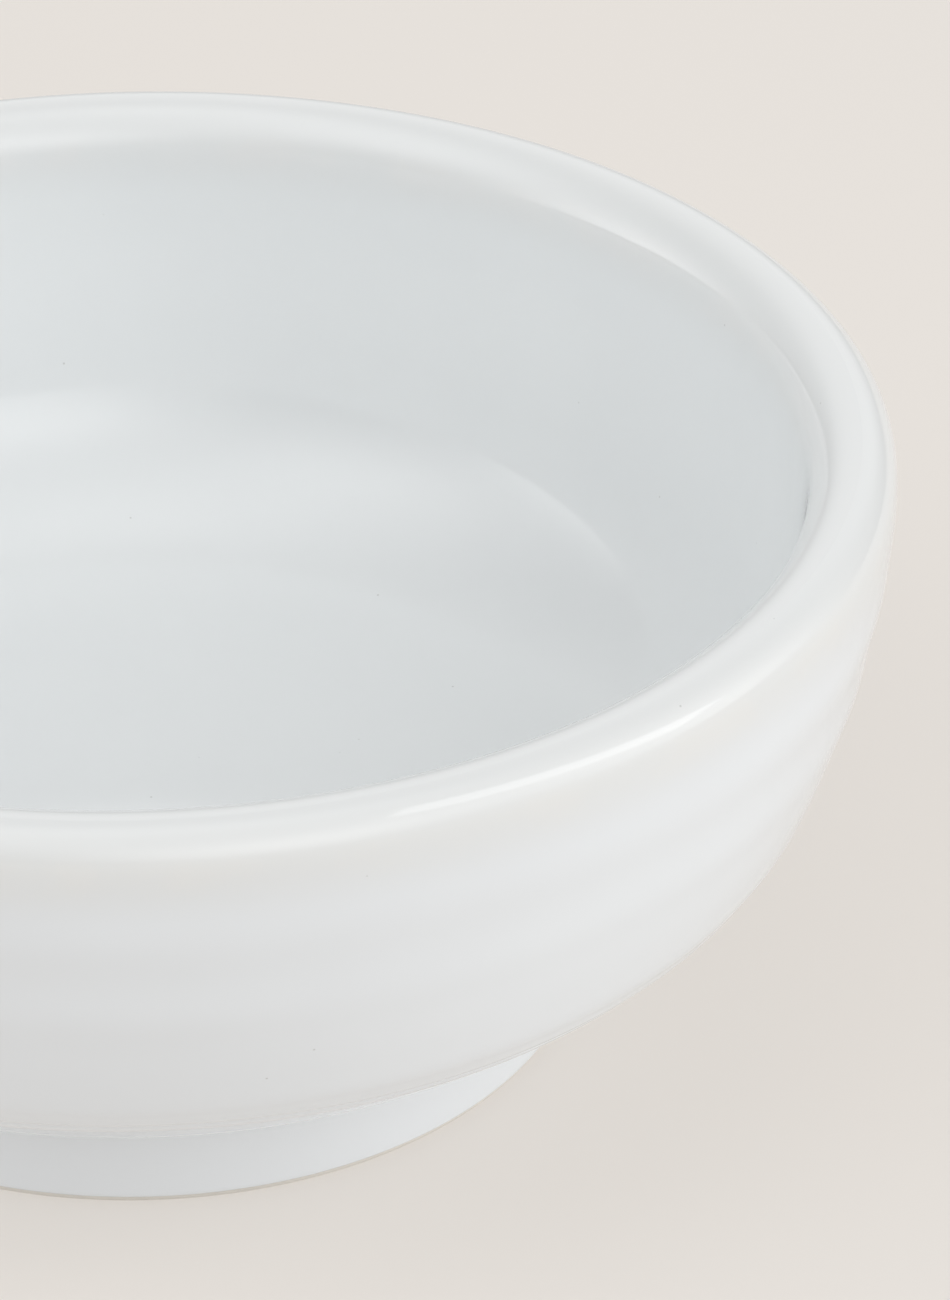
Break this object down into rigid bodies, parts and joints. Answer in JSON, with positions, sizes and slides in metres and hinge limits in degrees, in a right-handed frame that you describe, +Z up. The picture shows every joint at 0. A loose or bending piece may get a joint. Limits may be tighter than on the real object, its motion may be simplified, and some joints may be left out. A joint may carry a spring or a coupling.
{
  "type": "shaving bowl",
  "caption": "Low round glazed ceramic bowl with a thick rolled rim and a plain foot ring, for working up shaving lather with a brush.",
  "frame": {"origin": "middle of the foot ring's standing face, on the bowl's axis", "axes": "+Z up along the bowl's axis, out of its mouth; X and Y are equal on a turned bowl"},
  "size_m": [0.12, 0.12, 0.0494],
  "materials": {
    "porcelain_body": "matt fired clay",
    "foot_clay": "matt fired clay, ground smooth",
    "inside_glaze": "gloss, cool white",
    "outside_glaze": "gloss, cool white",
    "well_glaze": "gloss, cool white"
  },
  "bodies": {
    "root": {"bowl_body": "porcelain_body", "foot_ring": "foot_clay", "inner_glaze": "inside_glaze", "outer_glaze": "outside_glaze", "well_glaze": "well_glaze"}
  },
  "joints": []
}
